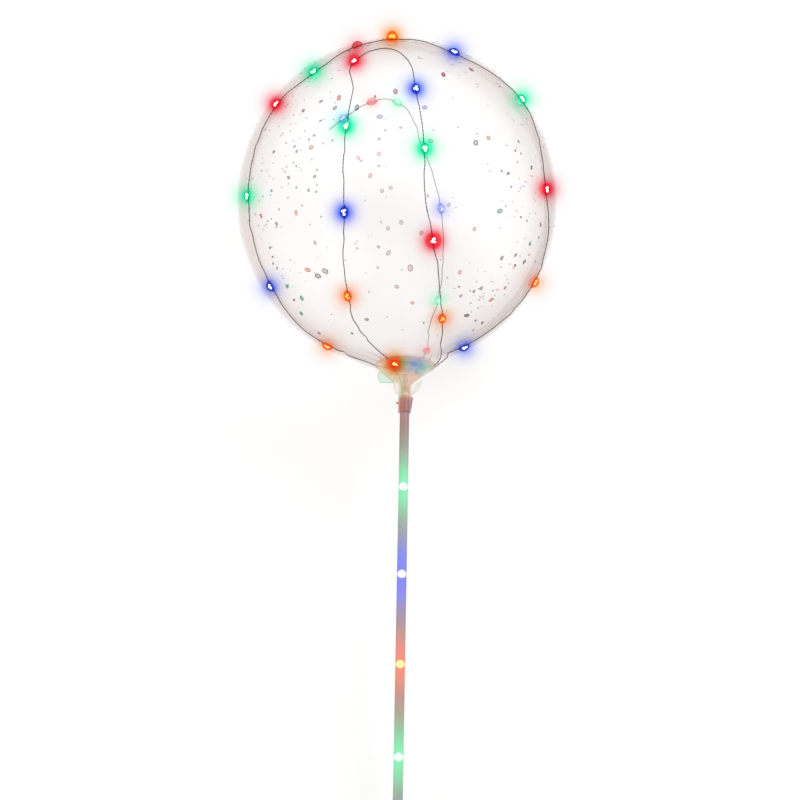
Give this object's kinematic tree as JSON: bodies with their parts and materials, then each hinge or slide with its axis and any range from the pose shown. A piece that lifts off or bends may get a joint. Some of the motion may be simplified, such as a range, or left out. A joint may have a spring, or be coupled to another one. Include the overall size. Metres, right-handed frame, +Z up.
{
  "type": "light-up balloon",
  "caption": "Clear film balloon in a funnel cup on a tubular stick, wound with a thin wire of lit resin beads that starts in a battery handle.",
  "frame": {"origin": "centre of the small flat spot on the balloon's belly, on the floor that the object lies on", "axes": "+Y runs on the floor from the battery handle towards the balloon; +Z is up as the object lies, on the side that the picture shows"},
  "size_m": [0.3774, 1.0933, 0.3806],
  "materials": {
    "clear_film": "thin clear film, glossy",
    "clear_cup": "clear moulded plastic, slightly dull",
    "frosted_tube": "milky see-through tube",
    "wire_coat": "thin lacquered wire",
    "handle_plastic": "white moulded plastic, fine satin",
    "cover_plastic": "white moulded plastic, fine satin",
    "red_resin": "clear red resin, lit from inside",
    "green_resin": "clear green resin, lit from inside",
    "blue_resin": "clear blue resin, lit from inside",
    "amber_resin": "clear amber resin, lit from inside"
  },
  "bodies": {
    "root": {"balloon": "clear_film", "cup": "clear_cup", "stick": "frosted_tube", "string_wire": "wire_coat", "battery_handle": "handle_plastic", "battery_cover": "cover_plastic", "bead_01_blue": "blue_resin", "bead_02_green": "green_resin", "bead_03_amber": "amber_resin", "bead_04_blue": "blue_resin", "bead_05_green": "green_resin", "bead_06_red": "red_resin", "bead_07_amber": "amber_resin", "bead_08_blue": "blue_resin", "bead_09_green": "green_resin", "bead_10_red": "red_resin", "bead_11_green": "green_resin", "bead_12_red": "red_resin", "bead_13_amber": "amber_resin", "bead_14_blue": "blue_resin", "bead_15_green": "green_resin", "bead_16_red": "red_resin", "bead_17_amber": "amber_resin", "bead_18_blue": "blue_resin", "bead_19_amber": "amber_resin", "bead_20_red": "red_resin", "bead_21_green": "green_resin", "bead_22_blue": "blue_resin", "bead_23_red": "red_resin", "bead_24_green": "green_resin", "bead_25_blue": "blue_resin", "bead_26_amber": "amber_resin", "bead_27_red": "red_resin", "bead_28_green": "green_resin", "bead_29_blue": "blue_resin", "bead_30_green": "green_resin", "bead_31_red": "red_resin", "bead_32_green": "green_resin", "bead_33_blue": "blue_resin", "bead_34_green": "green_resin", "bead_35_red": "red_resin", "bead_36_blue": "blue_resin"}
  },
  "joints": []
}
